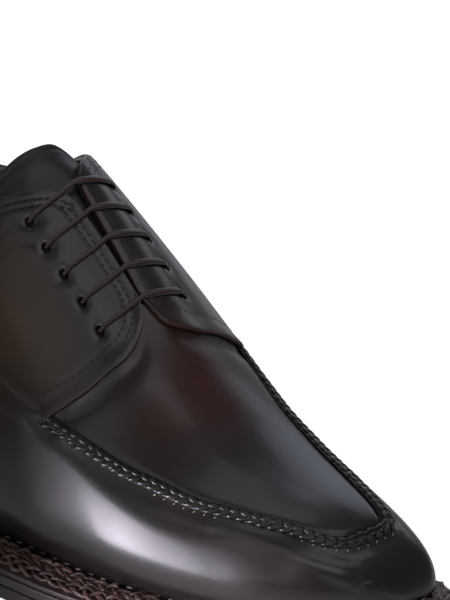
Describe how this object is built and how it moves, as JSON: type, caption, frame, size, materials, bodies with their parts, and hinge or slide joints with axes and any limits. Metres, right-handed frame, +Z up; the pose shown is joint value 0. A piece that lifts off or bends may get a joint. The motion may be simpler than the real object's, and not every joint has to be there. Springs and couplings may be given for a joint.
{
  "type": "derby shoe",
  "caption": "Right leather derby shoe with an apron toe seam, open laced facings, a plaited welt, a double sole and a stacked heel.",
  "frame": {"origin": "centre of the heel's ground face", "axes": "+X towards the toe, +Y towards the inner (medial) side, +Z up"},
  "size_m": [0.303, 0.1026, 0.118],
  "materials": {
    "upper_leather": "polished",
    "tongue_leather": "satin",
    "sole_leather": "waxed",
    "welt_leather": "waxed",
    "insole_leather": "natural",
    "heel_rubber": "matt",
    "lace_cotton": "waxed"
  },
  "bodies": {
    "root": {"outsole": "sole_leather", "midsole": "sole_leather", "welt": "welt_leather", "heel_stack": "sole_leather", "top_piece": "heel_rubber", "upper": "upper_leather", "tongue": "tongue_leather", "insole": "insole_leather", "lace_bar_1": "lace_cotton", "lace_bar_2": "lace_cotton", "lace_bar_3": "lace_cotton", "lace_bar_4": "lace_cotton", "lace_bar_5": "lace_cotton"}
  },
  "joints": []
}
